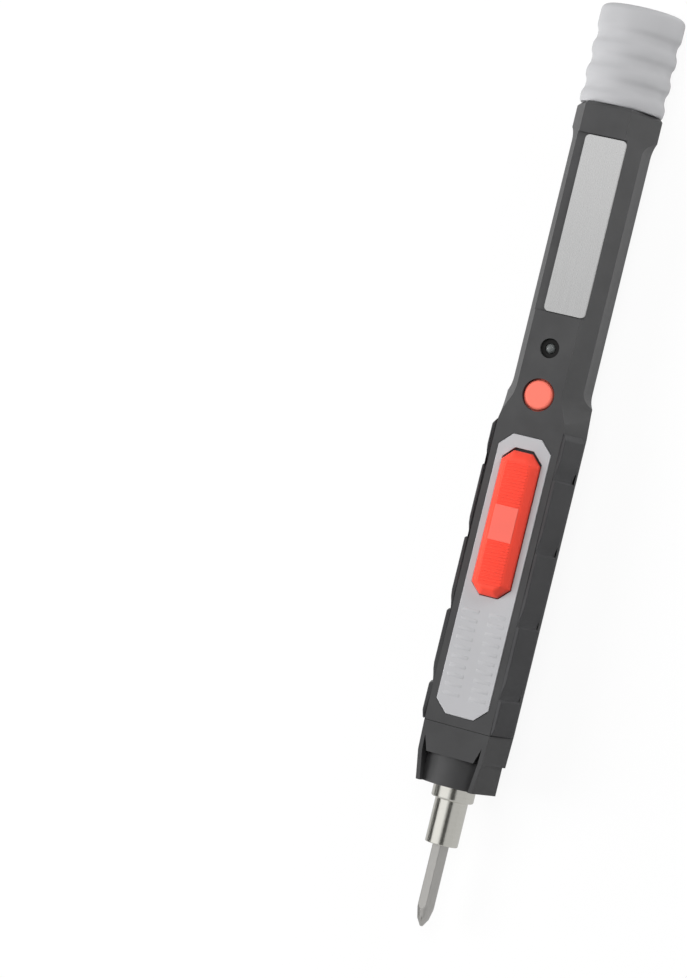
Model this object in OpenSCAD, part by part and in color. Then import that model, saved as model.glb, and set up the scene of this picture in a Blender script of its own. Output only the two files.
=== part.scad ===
// Pen-shaped electric torque screwdriver, lying on its flat back, bit towards +X, buttons up.
// Everything is laid out along the tool's own axis: z is the distance from the bit's tip towards
// the rear cap, y points out of the front (button) face and x to the user's left.
// lay() puts that frame down: z becomes -X, y becomes +Z and x becomes -Y.

/* [Lengths along the axis] */
// Length of bit that stands out of the chuck
bit_reach = 20.5; // [14:0.5:26]
// Length of the slim part of the chuck sleeve
sleeve_len = 11.1; // [9:0.1:14]
// Length of the chuck sleeve's flange
flange_len = 3.6; // [2:0.1:5]
// Length of the nose collar
nose_len = 14.6; // [13.5:0.1:18]
// Length of the nose collar's round front band
nose_band = 7.2; // [5:0.1:8.5]
// Length of the shoulder between grip and barrel
shoulder_len = 8.5; // [6:0.1:9]
// Length of the rear collar
collar_len = 6.8; // [5:0.1:9]
// Length of the rear cap
cap_len = 24.5; // [24:0.1:30]

/* [Outer sections] */
// Width of the grip from side edge to side edge
grip_w = 22.6; // [21.5:0.1:24]
// Width of the grip's flat front
grip_front_w = 16.84; // [16.4:0.02:17.6]
// Width of the barrel from side edge to side edge
barrel_w = 21.86; // [21:0.02:22.5]
// Width of the barrel's flat front
barrel_front_w = 11.56; // [11:0.02:13]
// Diameter of the nose collar's round front band
nose_d = 19.8; // [18.6:0.1:20.4]
// Half angle of the round stretch at the front and back of the band
nose_round = 40; // [35:1:50]
// Width of the nose collar's flat front where it meets the band
nose_front_w = 12.1; // [10:0.1:14]
// Width of the nose collar from side to side where it meets the band
nose_side_w = 22.3; // [21:0.1:22.6]
// Width over the nose collar's cheeks beside its front band
cheek_w = 20.8; // [20.4:0.1:21.4]
// Thickness of a cheek at its front edge
cheek_t = 1; // [0.8:0.1:1.4]
// Distance between the outer corners of the two cheeks where the band begins
ridge_w = 16.4; // [15.4:0.1:16.8]
// The same distance at the nose collar's front end
ridge_front_w = 14.4; // [13.6:0.1:15.4]
// How far the cheeks drop towards the nose collar's front end
ridge_drop = 0.7; // [0.3:0.1:1.2]
// Distance between the two side flats cut into the barrel
side_flat_w = 18; // [16.6:0.1:19]
// Radius of the run-out at each end of a side flat
side_flat_r = 4.4; // [3:0.1:6]
// Side flat's end behind the shoulder
side_flat_front = 2.4; // [1:0.1:5]
// Side flat's end ahead of the rear collar
side_flat_rear = 3; // [3:0.1:6]
// Chamfer on the rear edge of the collar
collar_chamfer = 0.8; // [0.3:0.1:1.2]

/* [Side grips] */
// Height of a side grip above the shell
pad_h = 1.0; // [0.6:0.1:1.4]
// Distance from the first notch to the rear end of the grip
notch_start = 6.6; // [5:0.1:8]
// Distance from the nose seam to the nearest notch
notch_ahead = 8.7; // [6:0.1:10]
// Length of a notch
notch_len = 5.1; // [3:0.1:6]
// Number of notches
notch_n = 4; // [2:1:4]
// Height of the side grip's lower edge above the tool's middle plane
pad_low = 1.8; // [1:0.1:4]

/* [Thumb panel] */
// Width of the soft panel on the front
panel_w = 13.4; // [12.5:0.1:14.4]
// Distance from the nose seam to the panel
panel_front = 2.5; // [1.5:0.1:4]
// Distance from the panel to the grip's rear end
panel_rear = 2.8; // [2:0.1:4]
// Length and width of the panel's cut corners
panel_corner = 3.1; // [1.5:0.1:3.5]
// Depth of the panel's pocket
panel_depth = 1.1; // [0.9:0.1:1.3]
// Height of the panel above the grip's front
panel_proud = 0.2; // [0.1:0.05:0.5]

/* [Rocker] */
// Length of the rocker
rocker_len = 35.5; // [32:0.5:37]
// Cut corners of the rocker
rocker_corner = 2.6; // [2:0.1:3]
// Extra room behind the rocker in the panel's opening
rocker_rear_room = 0.5; // [0:0.1:1]
// Width of the rocker
rocker_w = 9.7; // [9:0.1:10.6]
// Height of the rocker above the panel
rocker_proud = 2.7; // [2:0.1:3.5]
// Distance from the grip's rear end to the rocker's middle
rocker_back = 24.4; // [23.5:0.1:26]
// Width of the rocker's flat top
rocker_top_w = 6.4; // [5:0.1:7.5]
// Length of the raised pad in the rocker's middle
rocker_pad_len = 8.5; // [6:0.1:12]
// Distance from the rocker's pin to each of its switches
switch_offset = 7.5; // [6.5:0.1:8]
// Diameter of the rocker's pin
rocker_pin_d = 1.2; // [1:0.1:1.4]

/* [Round button and light] */
// Diameter of the round button
button_d = 7.3; // [6.5:0.1:7.6]
// Distance from the shoulder's rear end forward to the button's middle
button_ahead = 1.0; // [0.5:0.1:1.5]
// Thickness of the button's flange
button_flange_t = 0.6; // [0.5:0.05:0.9]
// Height of the button's foot below its flange
button_foot = 0.16; // [0.1:0.02:0.4]
// Distance from the button to the status light
led_back = 11.5; // [11:0.1:12.5]
// Diameter of the status light
led_d = 2.4; // [2:0.1:3]
// Diameter of the recess around the status light
led_recess_d = 4.8; // [4.2:0.1:5.4]

/* [Label] */
// Distance from the label's flat to the rear collar
label_rear = 0.9; // [0.3:0.1:6]
// Width of the label plate
label_w = 10.5; // [9:0.1:11]
// Thickness of the label plate
label_t = 0.5; // [0.3:0.05:0.8]
// Depth of the label's flat below the barrel's front
label_depth = 1.05; // [0.85:0.05:1.2]
// Distance from the status light to the label's flat
label_back = 8.4; // [8:0.1:9]
// Sideways offset of the label plate
label_shift = 1.2; // [0:0.1:1.3]

/* [Rear cap] */
// Diameter of the rear cap
cap_d = 20.8; // [20.2:0.05:20.8]
// Depth of the grooves around the cap
cap_groove = 0.6; // [0.3:0.05:0.8]
// Distance between the grooves
cap_pitch = 6.1; // [5:0.1:6.5]
// Number of grooves
cap_groove_n = 3; // [2:1:3]
// Radius of the cap's end edge
cap_edge_r = 1.6; // [0.6:0.1:2]
// Thickness of the cap's end wall
cap_end_t = 1.4; // [1.4:0.1:2.2]
// Outer diameter of the threaded neck
neck_d = 16.6; // [16:0.1:17.2]
// Length of the threaded neck
neck_len = 9.2; // [7:0.1:10]

/* [Chuck and bit] */
// Diameter of the chuck sleeve
sleeve_d = 8.15; // [7.8:0.05:9]
// Diameter of the sleeve's flange
flange_d = 10.5; // [9.6:0.1:12]
// Distance across the bit's flats
bit_af = 4; // [3.8:0.1:4.2]
// Length of the whole bit
bit_len = 28; // [27:0.5:28.5]
// Length of the bit's tapered cross tip
bit_tip_len = 4.4; // [3:0.1:6]
// Angle at which a corner of the bit stands
bit_clock = 15; // [0:1:60]
// Diameter of the spindle inside the sleeve
spindle_nose_d = 6.4; // [6:0.1:6.8]
// Diameter of the spindle in its bush
journal_d = 8; // [7.6:0.1:8.4]
// Diameter of the magnet behind the bit
magnet_d = 3.6; // [3:0.1:4]
// Thickness of the magnet
magnet_t = 2; // [1.5:0.1:3]

/* [Gearing] */
// Module of all gear teeth
gear_m = 0.3; // [0.28:0.01:0.31]
// Teeth on each sun gear
sun_z = 12; // [12:1:12]
// Teeth on each planet gear
planet_z = 15; // [15:1:15]
// Planets in each stage
planet_n = 3; // [3:1:3]
// Face width of the gears
gear_w = 3.2; // [2.6:0.1:3.6]
// Thickness of the planet carriers
carrier_t = 2; // [1.6:0.1:2.4]
// Diameter of a planet's pin
planet_pin_d = 1.4; // [1.2:0.1:1.6]
// Wall of the ring gear outside its teeth
ring_wall = 0.655; // [0.6:0.005:0.8]
// Wall of the gear case
case_wall = 0.95; // [0.8:0.05:1.1]
// Length of the clutch spring
clutch_spring_len = 5; // [4:0.1:6]
// Wire diameter of the clutch spring
clutch_wire = 0.9; // [0.7:0.05:1.1]
// Thickness of the clutch plate
clutch_plate_t = 1.8; // [1.4:0.1:2.2]
// Height of the clutch's ramps
clutch_ramp = 0.4; // [0.3:0.05:0.5]

/* [Motor] */
// Diameter of the motor
motor_d = 15.4; // [14.5:0.1:15.8]
// Length of the motor's can
motor_can_len = 16.5; // [14:0.1:17]
// Thickness of the motor's end bell
endbell_t = 2; // [1.5:0.1:2.5]
// Diameter of the motor's shaft
motor_shaft_d = 1.5; // [1.2:0.1:1.8]
// Wall of the motor's can
can_wall = 0.6; // [0.4:0.05:0.8]
// Thickness of the motor's magnets
magnet_wall = 1.6; // [1.2:0.1:2]

/* [Electronics] */
// Distance from the motor to the circuit board
board_gap = 1.8; // [1.4:0.1:3]
// Distance from the board's front end to the forward switch
switch_front = 5.3; // [4.6:0.1:8]
// Width of the circuit board
board_w = 9.2; // [8.6:0.1:9.3]
// Thickness of the circuit board
board_t = 0.8; // [0.6:0.1:0.8]
// Height of a switch's body
switch_h = 0.85; // [0.8:0.05:0.9]
// Height of a switch's plunger above its body
plunger_h = 0.35; // [0.32:0.01:0.4]
// Diameter of a switch's plunger
plunger_d = 1.6; // [1.2:0.1:2]
// Travel of a switch
switch_travel = 0.3; // [0.2:0.01:0.3]

/* [Batteries] */
// Diameter of a cell
cell_d = 10.5; // [10:0.1:10.5]
// Length of a cell with its button
cell_len = 44.4; // [44:0.1:44.6]
// Diameter of a cell's button
cell_button_d = 3.8; // [3.4:0.1:4]
// Height of a cell's button
cell_button_h = 0.8; // [0.6:0.1:1]
// Wall of the battery tube
tube_wall = 0.6; // [0.5:0.05:0.7]
// Wire diameter of the battery spring
cap_wire = 0.6; // [0.5:0.05:0.8]
// Length left for the battery spring with the cap closed
spring_space = 3.6; // [3.6:0.1:6]

/* [Shells and fits] */
// Wall of the shells
wall = 1.6; // [1.4:0.1:1.8]
// Radial gap of a running fit
run_gap = 0.05; // [0.02:0.01:0.1]
// Gap between a loose part and its seat
fit_gap = 0.1; // [0.05:0.01:0.15]
// Gap around a seated part
seat_gap = 0.02; // [0.01:0.01:0.04]
// Gap around a part that moves in view
move_gap = 0.2; // [0.15:0.05:0.3]
// Distance of the shell screws from the middle
screw_x = 6.4; // [6.3:0.1:6.6]
// Diameter of the shell screws
screw_d = 1.8; // [1.6:0.1:2]
// Diameter of the screw heads
screw_head_d = 3.2; // [2.8:0.1:3.3]
// Depth at which the screw heads lie
screw_sink = 1.2; // [0.8:0.1:1.6]

/* [Hidden] */
$fn = 72;
big = 60;
sliver = 0.01;

// Heights from the middle plane: the cells carry the board, and the board carries the switches,
// the light button and the shell's wall above them
tube_r_in = cell_d / 2 + 2 * fit_gap;
tube_r = tube_r_in + tube_wall;
board_y = tube_r + run_gap;
board_top = board_y + board_t;
plunger_top = board_top + switch_h + plunger_h;
button_foot_y = plunger_top + seat_gap;
button_flange_y = button_foot_y + button_foot;
ceiling_hi_y = button_flange_y + button_flange_t + seat_gap;
half_h = ceiling_hi_y + wall;
body_h = 2 * half_h;

// Stations of the nose along the axis, from the bit's tip
z_sleeve = bit_reach;
z_flange = z_sleeve + sleeve_len;
z_nose = z_flange + flange_len;
z_seam = z_nose + nose_len;

// Spindle bearing
nose_wall = 0.8;
bush_len = 9;
bush_d = 11;
bush_flange_d = 13;
bush_flange_t = 1;
thrust_gap = 0.1;
washer_t = 0.4;
washer_d = 12.4;
clip_t = 0.6;
clip_d = 10.4;
clip_groove = 0.5;
clip_side_gap = 0.05;
clip_opening = 55;
z_bush = z_nose + nose_wall;
z_washer = z_bush + bush_len + thrust_gap;
z_clip = z_washer + washer_t + thrust_gap;

// Gearbox
case_space = 0.9;
case_front_t = 1.2;
planet_gap = 0.2;
rim_lead = 0.9;
cover_gap = 0.6;
cover_t = 1.4;
ring_z = sun_z + 2 * planet_z;
pressure = 20;
addendum = 0.8 * gear_m;
dedendum = 1.15 * gear_m;
tooth_slack = 0.03;
sun_r = gear_m * sun_z / 2;
planet_r = gear_m * planet_z / 2;
ring_r = gear_m * ring_z / 2;
orbit_r = sun_r + planet_r;
ring_out_r = ring_r + dedendum + ring_wall;
case_r_in = ring_out_r + run_gap;
case_d = 2 * (case_r_in + case_wall);
carrier_r = ring_r - addendum - 0.35;
rim_r_in = carrier_r + move_gap;
z_case = z_clip + clip_t + case_space;
z_spring = z_case + case_front_t;
z_clutch = z_spring + clutch_spring_len;
z_ring = z_clutch + clutch_plate_t;
z_planet_out = z_ring + rim_lead;
z_carrier_out = z_planet_out - planet_gap - carrier_t;
z_carrier_in = z_planet_out + gear_w + planet_gap;
z_planet_in = z_carrier_in + carrier_t + planet_gap;
z_cover = z_planet_in + gear_w + cover_gap;
ring_w = rim_lead + gear_w + planet_gap / 2;
clutch_ramp_n = 6;
clutch_ramp_w = 1.2;
clutch_key_n = 3;
clutch_key_w = 2;
clutch_key_h = 0.5;
spring_turns = 4;
tang_w = 4.2;
spindle_rear_d = 7.2;
case_key_h = 0.8;
case_key_w = 2.4;

// Motor
z_motor = z_cover + cover_t;
z_can_end = z_motor + motor_can_len;
z_motor_end = z_can_end + endbell_t;
motor_boss_d = 6;
motor_boss_h = 0.9;
terminal_len = 1.6;
terminal_x = 4;
terminal_w = 1.6;
terminal_t = 0.5;
air_gap = 0.35;
armature_r = motor_d / 2 - can_wall - magnet_wall - air_gap;

// Stations of the grip, set by the board and its switches behind the motor
z_board = z_motor_end + board_gap;
z_rocker = z_board + switch_front + switch_offset;
z_grip_end = z_rocker + rocker_back;
z_barrel = z_grip_end + shoulder_len;
grip_len = z_grip_end - z_seam;
notch_pitch = (grip_len - notch_start - notch_ahead - notch_len) / (notch_n - 1);

// Stations of the barrel and cap, set by the two cells
contact_t = 0.4;
cup_floor_t = 0.6;
z_contact = z_barrel + fit_gap;
z_cell = z_contact + contact_t + fit_gap;
z_cells_end = z_cell + 2 * cell_len;
z_cup_floor = z_cells_end + spring_space;
z_cap_floor = z_cup_floor + cup_floor_t + fit_gap;
tool_length = z_cap_floor + cap_end_t;
z_cap = tool_length - cap_len;
z_collar = z_cap - collar_len;

// Rocker and buttons
z_button = z_barrel - button_ahead;
z_led = z_button + led_back;
z_label = z_led + label_back;
z_label_end = z_collar - label_rear;
label_end_gap = 0.2;
label_len = z_label_end - z_label - 2 * label_end_gap;
button_room = 5.2;
pocket_y = half_h - panel_depth;
panel_top = half_h + panel_proud;
ceiling_y = pocket_y - wall + 0.1;

// Board, switches and the rocker's underside
z_board_end = z_led + 3.4;
switch_l = 3.4;
leg_r = 0.8;
pin_y = pocket_y - rocker_pin_d / 2 - 0.5;
rocker_under_y = pocket_y + 0.8;
rocker_tilt = asin(switch_travel / switch_offset) * 0.96;
web_len = 4.4;
web_w = 4.6;
ear_t = 1.4;
ear_len = 4;
slot_w = web_w + 2 * move_gap;
slot_len = 2 * (switch_offset + leg_r + 1);

// Batteries and rear cap
z_tube = z_cell + fit_gap;
z_neck_end = z_cap + neck_len;
neck_flange_d = 18;
neck_flange_t = 1.6;
z_neck_flange = z_cap - 4.6;
strip_t = 0.3;
strip_w = 3;
strip_x = tube_r + fit_gap;
strip_tab_len = 3;
strip_tab_back = 5;
cap_r_in = neck_d / 2 + run_gap;
cup_t = 0.3;
cup_r = 6.9;
seal_r = 0.6;
seal_depth = 0.75;
z_seal = z_cap + 1.6;

// Shell interior
spigot_len = 4.2;
spigot_wall = 0.8;
spigot_r = case_d / 2 + fit_gap + spigot_wall;
rib_n = 4;
rib_t = 1.6;
relief_r = 7.2;
bulkhead_t = 1.5;
z_bay = z_motor_end + fit_gap;
z_bay_end = z_contact - bulkhead_t;
bay_front_w = 12.4;
bay_w = 18;
boss_r = screw_d / 2 + 0.75;
screw_front = 5.8;
screw_rear = 5.3;
z_screws = [z_board + screw_front, z_grip_end - screw_rear];
peg_r = 0.6;
peg_x = 2.2;
z_pegs = [z_board + 1.4, z_grip_end - 2.6];

// ---- Shared shapes ----

// Puts the tool's own frame down on its back
module lay() {
  translate([tool_length / 2, 0, half_h]) rotate([90, 0, -90]) children();
}

// Raises a flat shape between two stations
module span(z0, z1) {
  translate([0, 0, z0]) linear_extrude(z1 - z0) children();
}

// A rod or hole along the axis
module rod(r, z0, z1) {
  translate([0, 0, z0]) cylinder(r = r, h = z1 - z0);
}

// A ring along the axis
module ring(r_out, r_in, z0, z1) {
  difference() {
    rod(r_out, z0, z1);
    rod(r_in, z0 - 1, z1 + 1);
  }
}

// A rod or hole that points out of the front face, between two heights
module post(r, x, z, y0, y1) {
  translate([x, y0, z]) rotate([-90, 0, 0]) cylinder(r = r, h = y1 - y0);
}

// A block between two corners
module block(x0, x1, y0, y1, z0, z1) {
  translate([x0, y0, z0]) cube([x1 - x0, y1 - y0, z1 - z0]);
}

// Six-sided section with a flat front and back and an edge at each side
module six_sided(front_w, side_w, height) {
  polygon([
    [front_w / 2, height / 2], [side_w / 2, 0], [front_w / 2, -height / 2],
    [-front_w / 2, -height / 2], [-side_w / 2, 0], [-front_w / 2, height / 2]
  ]);
}

// Rectangle with cut corners, along the tool, raised out of the front face
module cut_corner_plate(w, z0, z1, corner, y0, y1) {
  translate([0, y1, 0]) rotate([90, 0, 0]) linear_extrude(y1 - y0) polygon([
    [w / 2, z0 + corner], [w / 2, z1 - corner], [w / 2 - corner, z1], [corner - w / 2, z1],
    [-w / 2, z1 - corner], [-w / 2, z0 + corner], [corner - w / 2, z0], [w / 2 - corner, z0]
  ]);
}

function mix(a, b, t) = a + (b - a) * t;
function ease(t) = (1 - cos(180 * t)) / 2;

// Involute gear outline: half tooth angle at a radius, then six points for each tooth
function involute(a) = tan(a) * 180 / PI - a;
function half_tooth(z, r, slack) =
  let (pitch_r = gear_m * z / 2, base_r = pitch_r * cos(pressure))
  90 / z - slack / pitch_r * 180 / PI + involute(pressure) - involute(acos(min(1, base_r / r)));
function tooth_point(r, a) = [r * cos(a), r * sin(a)];
function gear_outline(z, out, inside, slack) =
  let (radii = [gear_m * z / 2 - inside, gear_m * z / 2, gear_m * z / 2 + out])
  [for (k = [0:z - 1]) each concat(
    [for (r = radii) tooth_point(r, 360 * k / z - half_tooth(z, r, slack))],
    [for (i = [2:-1:0]) tooth_point(radii[i], 360 * k / z + half_tooth(z, radii[i], slack))]
  )];

module gear(z, width) {
  linear_extrude(width) polygon(gear_outline(z, addendum, dedendum, tooth_slack));
}

// The space that the planets' teeth need in an internal gear
module ring_space(z0, z1) {
  span(z0, z1) polygon(gear_outline(ring_z, dedendum, addendum, -tooth_slack));
}

// A coil spring of round wire, from one radius at its front to another at its rear
module coil(r0, r1, wire, length, turns) {
  steps = turns * 20;
  sides = 8;
  rise = length - wire;
  points = [for (i = [0:steps], j = [0:sides - 1])
    let (t = i / steps, a = 360 * turns * t, r = mix(r0, r1, t) + wire / 2 * cos(360 * j / sides))
    [r * cos(a), r * sin(a), wire / 2 + rise * t + wire / 2 * sin(360 * j / sides)]];
  skin = [for (i = [0:steps - 1], j = [0:sides - 1])
    let (a = i * sides + j, b = i * sides + (j + 1) % sides) [a, b, b + sides, a + sides]];
  polyhedron(points, concat(
    skin,
    [[for (j = [sides - 1:-1:0]) j], [for (j = [0:sides - 1]) steps * sides + j]]
  ));
}

// Places children at each planet of a stage
module at_planet(k, z) {
  rotate([0, 0, 360 * k / planet_n]) translate([orbit_r, 0, z]) children();
}

// ---- Shells ----

module grip_section() six_sided(grip_front_w, grip_w, body_h);
module barrel_section() six_sided(barrel_front_w, barrel_w, body_h);

module shoulder_slice(t) {
  w_front = mix(grip_front_w, barrel_front_w, ease(t));
  w_side = mix(grip_w, barrel_w, ease(t));
  translate([0, 0, mix(z_grip_end, z_barrel, t)]) linear_extrude(sliver)
    six_sided(w_front, w_side, body_h);
}

// Outer form of the two shells together
module outer_form() {
  steps = 4;
  z_chamfer = z_cap - collar_chamfer;
  span(z_seam, z_grip_end) grip_section();
  for (i = [0:steps - 1]) hull() {
    shoulder_slice(i / steps);
    shoulder_slice((i + 1) / steps);
  }
  span(z_barrel, z_chamfer) barrel_section();
  hull() {
    span(z_chamfer - sliver, z_chamfer) barrel_section();
    span(z_cap - sliver, z_cap) six_sided(
      barrel_front_w - collar_chamfer, barrel_w - 2 * collar_chamfer, body_h - 2 * collar_chamfer);
  }
}

// Flat cut into one side of the barrel, with a round run-out at each end
module side_cut() {
  z0 = z_barrel + side_flat_front;
  z1 = z_collar - side_flat_rear;
  x0 = side_flat_w / 2;
  block(x0, big, -big, big, z0, z1);
  for (z = [z0, z1]) translate([x0 + side_flat_r, 0, z]) rotate([90, 0, 0])
    cylinder(r = side_flat_r, h = 2 * big, center = true);
}

// Everything that is cut out of both shells
module shell_interior() {
  relief_len = (z_neck_flange - z_tube - rib_t) / rib_n;
  rod(case_d / 2 + fit_gap, z_seam - spigot_len - 1, z_motor);
  rod(motor_d / 2 + fit_gap, z_motor - 1, z_bay);
  for (x = [-1, 1]) block(x * case_d / 2 - case_key_h - fit_gap, x * case_d / 2 + case_key_h + fit_gap,
    -case_key_w / 2 - fit_gap, case_key_w / 2 + fit_gap, z_seam - spigot_len - 1, z_motor);
  difference() {
    span(z_bay - sliver, z_bay_end) six_sided(bay_front_w, bay_w, 2 * ceiling_y);
    for (z = z_screws, x = [-1, 1]) post(boss_r, x * screw_x, z, -half_h, half_h);
  }
  rod(tube_r + fit_gap, z_contact, z_cap + 1);
  for (i = [0:rib_n - 1]) rod(relief_r, z_tube + rib_t + i * relief_len, z_tube + (i + 1) * relief_len);
  rod(neck_flange_d / 2 + fit_gap, z_neck_flange - fit_gap, z_neck_flange + neck_flange_t + fit_gap);
  rod(neck_d / 2 + fit_gap, z_neck_flange, z_cap + 1);
  block(strip_x - fit_gap, strip_x + strip_t + fit_gap, -strip_w / 2 - fit_gap, strip_w / 2 + fit_gap,
    z_bay_end - 1, z_neck_flange);
}

// One screw with its head, standing along y
module screw_shape(x, z, gap) {
  y_head = screw_sink - half_h;
  post(screw_d / 2 + gap, x, z, y_head, board_y - 1 + gap);
  post(screw_head_d / 2 + gap, x, z, y_head, y_head + 1.2 + gap);
}

module front_shell() {
  color([0.24, 0.24, 0.25]) lay() difference() {
    intersection() {
      union() {
        outer_form();
        rod(spigot_r, z_seam - spigot_len, z_seam + 1);
      }
      block(-big, big, 0, big, 0, big * 5);
    }
    difference() {
      shell_interior();
      for (z = z_pegs, x = [-1, 1]) {
        post(peg_r + 0.4, x * peg_x, z, board_top + seat_gap, half_h);
        post(peg_r, x * peg_x, z, board_y - 0.4, half_h);
      }
      for (x = [-1, 1]) block(x * (slot_w / 2 + ear_t / 2) - ear_t / 2, x * (slot_w / 2 + ear_t / 2) + ear_t / 2,
        pin_y - rocker_pin_d / 2 - 0.6, half_h, z_rocker - ear_len / 2, z_rocker + ear_len / 2);
    }
    side_cut();
    mirror([1, 0, 0]) side_cut();
    block(-board_w / 2 - 2 * fit_gap, board_w / 2 + 2 * fit_gap, 0, ceiling_hi_y, z_button - button_room, z_board_end + 0.4);
    cut_corner_plate(panel_w + 2 * fit_gap, z_seam + panel_front - fit_gap, z_grip_end - panel_rear + fit_gap,
      panel_corner, pocket_y, big);
    block(-slot_w / 2, slot_w / 2, 0, big, z_rocker - slot_len / 2, z_rocker + slot_len / 2);
    translate([0, pin_y, z_rocker]) rotate([0, 90, 0])
      cylinder(r = rocker_pin_d / 2 + seat_gap, h = slot_w + 2 * ear_t + 1, center = true);
    post(button_d / 2 + 0.35, 0, z_button, 0, big);
    post(led_recess_d / 2, 0, z_led, half_h - 1.2, big);
    post(led_d / 2 + fit_gap, 0, z_led, 0, big);
    block(-big, big, half_h - label_depth, big, z_label, z_label_end);
    for (z = z_screws, x = [-1, 1]) screw_shape(x * screw_x, z, seat_gap);
  }
}

module back_shell() {
  color([0.2, 0.2, 0.21]) lay() difference() {
    intersection() {
      union() {
        outer_form();
        rod(spigot_r, z_seam - spigot_len, z_seam + 1);
      }
      block(-big, big, -big, 0, 0, big * 5);
    }
    shell_interior();
    side_cut();
    mirror([1, 0, 0]) side_cut();
    for (z = z_screws, x = [-1, 1]) {
      screw_shape(x * screw_x, z, seat_gap);
      post(screw_head_d / 2 + fit_gap, x * screw_x, z, -big, screw_sink + 1 - half_h);
    }
  }
}

// One stretch of a nose collar's cheek: the sloping side of the collar with a narrow ridge at the
// front. Each end is given as [place along the tool, side width, ridge width, ridge height].
module cheek(front, rear) {
  hull() for (at = [front, rear]) translate([0, 0, at[0]]) linear_extrude(sliver) polygon([
    [at[1] / 2, 0], [at[2] / 2, at[3]], [at[2] / 2 - cheek_t, at[3]], [at[2] / 2 - 2 * cheek_t, 0]
  ]);
}

module nose_collar() {
  z_band = z_nose + nose_band;
  z_rear = z_seam - fit_gap;
  flat_h = nose_d / 2 - (nose_d / 2) * (1 - sin(nose_round)) / cos(nose_round);
  z_spigot = z_seam - spigot_len - fit_gap;
  color([0.23, 0.23, 0.24]) lay() difference() {
    union() {
      span(z_nose, z_band + sliver) intersection() {
        circle(d = nose_d);
        six_sided(2 * flat_h, nose_d, nose_d);
      }
      rod(spigot_r + fit_gap + nose_wall, z_band, z_rear);
      intersection() {
        hull() {
          span(z_band, z_band + sliver) six_sided(nose_front_w, nose_side_w, body_h);
          span(z_rear - sliver, z_rear) grip_section();
        }
        block(-big, big, -big, 0, 0, big * 5);
      }
      hull() {
        block(-nose_front_w / 2, nose_front_w / 2, 0, half_h, z_band, z_band + sliver);
        block(-grip_front_w / 2, grip_front_w / 2, 0, half_h, z_rear - sliver, z_rear);
      }
      for (side = [0, 1]) mirror([side, 0, 0]) {
        cheek([z_nose, cheek_w, ridge_front_w, half_h - ridge_drop], [z_band, cheek_w, ridge_w, half_h]);
        cheek([z_band, nose_side_w, ridge_w, half_h], [z_rear - sliver, grip_w, grip_front_w, half_h]);
      }
    }
    rod(journal_d / 2 + 0.4, 0, z_seam);
    rod(bush_d / 2 + seat_gap, z_bush, z_seam);
    rod(bush_flange_d / 2 + seat_gap, z_bush + bush_len - bush_flange_t, z_seam);
    rod(spigot_r + fit_gap, z_spigot, z_seam + 1);
  }
}

// ---- Side grips, panel and label ----

// Side view of a grip: a low strip whose top falls sharply at the front of each notch and
// climbs gently back to full height behind it
function notch_front(i) = z_grip_end - notch_start - i * notch_pitch - notch_len;
function pad_profile() = concat(
  [[z_seam + fit_gap, 0], [z_seam + fit_gap, pad_h / 2], [z_seam + 2, pad_h]],
  [for (i = [notch_n - 1:-1:0]) each [
    [notch_front(i), pad_h], [notch_front(i) + 0.4, pad_h * 0.2],
    for (t = [0.4, 0.7]) [notch_front(i) + notch_len * t, pad_h * mix(0.2, 1, ease(t))],
    [notch_front(i) + notch_len, pad_h]
  ]],
  [[z_grip_end - 1.5, pad_h], [z_grip_end, 0]]
);

module side_grip() {
  dx = (grip_w - grip_front_w) / 2;
  low = pad_low / half_h;
  face_len = norm([dx, half_h]);
  color([0.27, 0.27, 0.28]) translate([grip_w / 2 - dx * low, pad_low, 0])
    rotate([0, 0, -atan2(half_h, dx)]) rotate([0, -90, 0])
      linear_extrude(face_len * (1 - low) - 0.05) polygon(pad_profile());
}
module side_grip_left() lay() side_grip();
module side_grip_right() lay() mirror([1, 0, 0]) side_grip();

module thumb_panel() {
  color([0.7, 0.7, 0.72]) lay() difference() {
    cut_corner_plate(panel_w, z_seam + panel_front, z_grip_end - panel_rear, panel_corner,
      pocket_y + seat_gap, panel_top);
    cut_corner_plate(rocker_w + 2 * move_gap, z_rocker - rocker_len / 2 - move_gap,
      z_rocker + rocker_len / 2 + move_gap + rocker_rear_room, rocker_corner + 0.1, 0, big);
  }
}

module label_plate() {
  corner = 1.2;
  y0 = half_h - label_depth + seat_gap;
  z0 = z_label + label_end_gap;
  color([0.8, 0.8, 0.8]) lay() translate([-label_shift, y0 + label_t, 0]) rotate([90, 0, 0])
    linear_extrude(label_t) union() {
      translate([-label_w / 2 + corner, z0]) square([label_w - 2 * corner, label_len]);
      translate([-label_w / 2, z0 + corner]) square([label_w, label_len - 2 * corner]);
      for (x = [-1, 1], z = [z0 + corner, z0 + label_len - corner])
        translate([x * (label_w / 2 - corner), z]) circle(r = corner);
    }
}

module shell_screws() {
  recess = 0.7;
  y_head = screw_sink - half_h;
  color([0.45, 0.45, 0.47]) lay() for (z = z_screws, x = [-1, 1]) difference() {
    screw_shape(x * screw_x, z, 0);
    for (a = [0, 90]) translate([x * screw_x, y_head + recess / 2, z]) rotate([0, a, 0])
      cube([screw_head_d * 0.6, recess + sliver, 0.5], center = true);
  }
}

// ---- Board, switches, buttons ----

module circuit_board() {
  color([0.1, 0.4, 0.2]) lay() difference() {
    block(-board_w / 2, board_w / 2, board_y, board_top, z_board, z_board_end);
    for (z = z_pegs, x = [-1, 1]) post(peg_r + seat_gap, x * peg_x, z, 0, half_h);
  }
}

module switch_body(z) {
  color([0.15, 0.15, 0.16]) lay() difference() {
    block(-switch_l / 2, switch_l / 2, board_top, board_top + switch_h, z - switch_l / 2, z + switch_l / 2);
    post(plunger_d / 2 + run_gap, 0, z, board_top + 0.1, half_h);
  }
}
module forward_switch() switch_body(z_rocker - switch_offset);
module reverse_switch() switch_body(z_rocker + switch_offset);
module light_switch() switch_body(z_button);

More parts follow.
